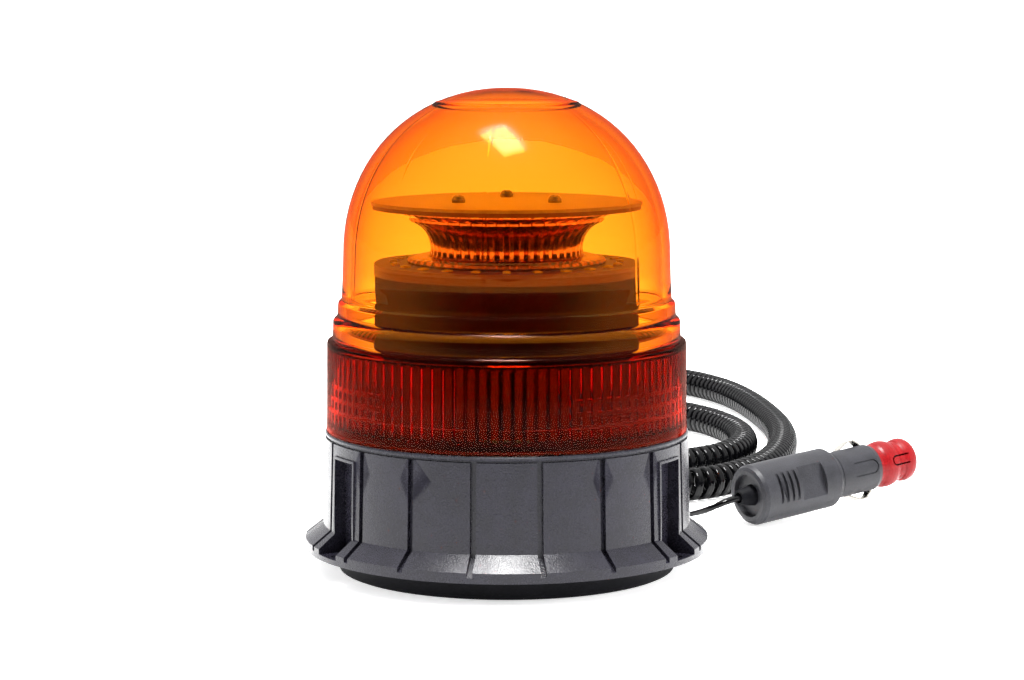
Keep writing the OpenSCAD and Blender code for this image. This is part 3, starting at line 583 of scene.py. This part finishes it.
def cord_vinyl():
    """Glossy extruded PVC lead: long soft ripples along the skin."""
    return grained("glossy_pvc", "#020203", "#040405", 2.4, 0.5, 0.04, smear=6.0,
                   Specular_IOR_Level=0.0, Coat_Weight=0.32, Coat_Roughness=0.08)  # fmt: skip


def fuse_tube():
    """Clear glass fuse with a little haze."""
    return grained("fuse_glass_tube", "#DCE6EA", "#F2F7F8", 3.0, 0.1, 0.02, Transmission_Weight=0.9)


def dress(names, material):
    """Gives CAD nodes or pieces one material."""
    for name in names:
        piece = nodes.get(name) or bpy.data.objects[name]
        piece.data.materials.clear()
        piece.data.materials.append(material)


def finish_pieces():
    dress(["base_housing"],
          grained("grained_abs", "#141319", "#1B1A22", 0.6, 0.27, 0.4, Specular_IOR_Level=0.2))  # fmt: skip
    dress(["rubber_boot", "lens_seal", "cable_gland", "plug_relief"],
          grained("black_rubber", "#060609", "#0C0C10", 0.8, 0.62, 0.3, Specular_IOR_Level=0.08))  # fmt: skip
    dress(["magnet_ring"], grained("sintered_ferrite", "#2B2B2D", "#3A3A3C", 0.6, 0.6, 0.3))
    dress(["foot_screws", "board_screws", "riser_screws", "plug_screw", "magnet_plate", "standoffs"],
          plated("zinc_plated_steel", "#A9ADB3", "#CDD0D4", 0.7, 0.32))  # fmt: skip
    dress(["top_screws"], plated("steel_screw", "#8E8478", "#B4A898", 0.7, 0.16))
    dress(["driver_board"], grained("green_solder_mask", "#14502B", "#1D6A3A", 1.5, 0.25, 0.1))
    dress(["driver_components"], grained("black_epoxy", "#151518", "#232327", 0.6, 0.5, 0.2))
    dress(["inner_leads", "board_leads"], grained("red_pvc_wire", "#8E1313", "#A91B1B", 1.0, 0.3, 0.05))
    dress(["riser_drum"],
          grained("dark_drum_abs", "#240518", "#2E081E", 0.6, 0.45, 0.1, Specular_IOR_Level=0.0))  # fmt: skip
    dress(["top_plate"], grained("top_board_mask", "#86765E", "#988870", 1.2, 0.35, 0.1))
    dress(["heat_spreader"], turned_aluminium())
    dress(["lower_led_board", "upper_led_board"],
          grained("brown_solder_mask", "#582E28", "#663830", 1.5, 0.4, 0.08))  # fmt: skip
    dress(["lower_leds", "upper_leds"], grained("phosphor_emitter", "#E2C25A", "#F4E08C", 0.8, 0.2, 0.05))
    dress(["trumpet_reflector"], vacuum_chrome())
    dress(["cord"], cord_vinyl())
    matt = grained("spark_eroded_abs", "#1F1F22", "#29292D", 0.5, 0.45, 0.4, Specular_IOR_Level=0.2)
    dress(["plug_shell_front", "plug_shell_rear", "adapter_spigot"], matt)
    red = grained("red_polyamide", "#66080B", "#740C10", 0.9, 0.35, 0.08, Specular_IOR_Level=0.15)
    dress(["adapter"], red)
    dress(["fuse"], fuse_tube())
    dress(["tip_contact", "tip_spring", "side_contact_upper", "side_contact_lower"],
          plated("nickel_plate", "#B7B2A8", "#D6D2CA", 0.6, 0.25))  # fmt: skip


# ---- studio ----------------------------------------------------------------------------------


WHITE = (1.0, 1.0, 1.0, 1.0)
FLOOR_SIDE, FLOOR_DROP, FLOOR_GLOW = 120.0, 0.0002, 0.55
# The spot that lifts the light seen through the dome: watts, spread, where it hangs and its tilt.
GLOW_POWER, GLOW_SPREAD, GLOW_SIZE = 90.0, math.radians(13), 0.1
GLOW_PLACE, GLOW_TILT = (0.0, 1.7, 1.6), math.radians(18)


def bright_surround():
    """Even studio tent: bright behind the lamp, dim on the near side, with a wide soft light overhead."""
    world = bpy.data.worlds.new("studio_tent")
    world.use_nodes = True
    world.node_tree.nodes.clear()
    way = add(world, "ShaderNodeSeparateXYZ", {0: add(world, "ShaderNodeTexCoord").outputs["Generated"]})

    def rise(axis, start, end, low, high):
        inputs = {"Value": way.outputs[axis], "From Min": start, "From Max": end,
                  "To Min": low, "To Max": high}  # fmt: skip
        return add(world, "ShaderNodeMapRange", inputs, interpolation_type="SMOOTHSTEP").outputs[0]

    back, over = rise("Y", -0.95, -0.1, 0.05, 1.4), rise("Z", 0.72, 0.97, 0.0, 1.5)
    both = add(world, "ShaderNodeMath", {0: back, 1: over}, operation="ADD").outputs[0]
    light = add(world, "ShaderNodeBackground", {"Color": WHITE, "Strength": both})
    add(world, "ShaderNodeOutputWorld", {"Surface": light.outputs[0]})
    return world


def softbox(name, where, aim, width, height, power, shows=True):
    """A soft light aimed at a place; one that doesn't show lights the lamp but has no reflection in it."""
    data = bpy.data.lights.new(name, "AREA")
    data.shape = "RECTANGLE"
    data.size, data.size_y = width, height
    data.energy = power
    light = bpy.data.objects.new(name, data)
    light.location = where
    light.rotation_euler = (Vector(aim) - Vector(where)).to_track_quat("-Z", "Y").to_euler()
    light.visible_glossy = light.visible_transmission = shows
    bpy.context.scene.collection.objects.link(light)


def back_glow():
    """A narrow spot from behind and above, for the light that comes through the dome."""
    data = bpy.data.lights.new("back_glow", "SPOT")
    data.energy, data.spot_size, data.spot_blend = GLOW_POWER, GLOW_SPREAD, 1.0
    data.shadow_soft_size = GLOW_SIZE
    light = bpy.data.objects.new("back_glow", data)
    light.location = GLOW_PLACE
    light.rotation_euler = (GLOW_TILT, 0.0, 0.0)
    bpy.context.scene.collection.objects.link(light)


def build_floor():
    """Plain pale floor out to the horizon."""
    set_down()
    bpy.ops.mesh.primitive_plane_add(size=FLOOR_SIDE)
    floor = bpy.context.object
    floor.name = "floor"
    floor.location.z = -FLOOR_DROP
    sheet = blank("pale_floor")
    inputs = {"Base Color": paint("#F4F4F4"), "Roughness": 0.9, "Emission Color": WHITE,
              "Emission Strength": FLOOR_GLOW}  # fmt: skip
    finish_with(sheet, add(sheet, "ShaderNodeBsdfPrincipled", inputs))
    floor.data.materials.append(sheet)


def build_studio():
    """The floor inside a bright tent, with one light that shows in the dome and two that don't."""
    build_floor()
    bpy.context.scene.world = bright_surround()
    softbox("overhead", (-0.02, -0.06, 1.02), (0.0, -0.05, 0.0), 0.42, 0.22, 34.0)
    softbox("left_side", (-1.7, -0.4, 0.6), (0.0, 0.0, 0.07), 0.8, 0.8, 16.0, False)
    softbox("right_side", (1.7, -0.5, 0.6), (0.0, 0.0, 0.07), 0.8, 0.8, 36.0, False)
    back_glow()
    bpy.context.scene.view_settings.view_transform = "Standard"


place_camera()
build_cord()
build_lens()
build_reflector()
finish_pieces()
build_studio()
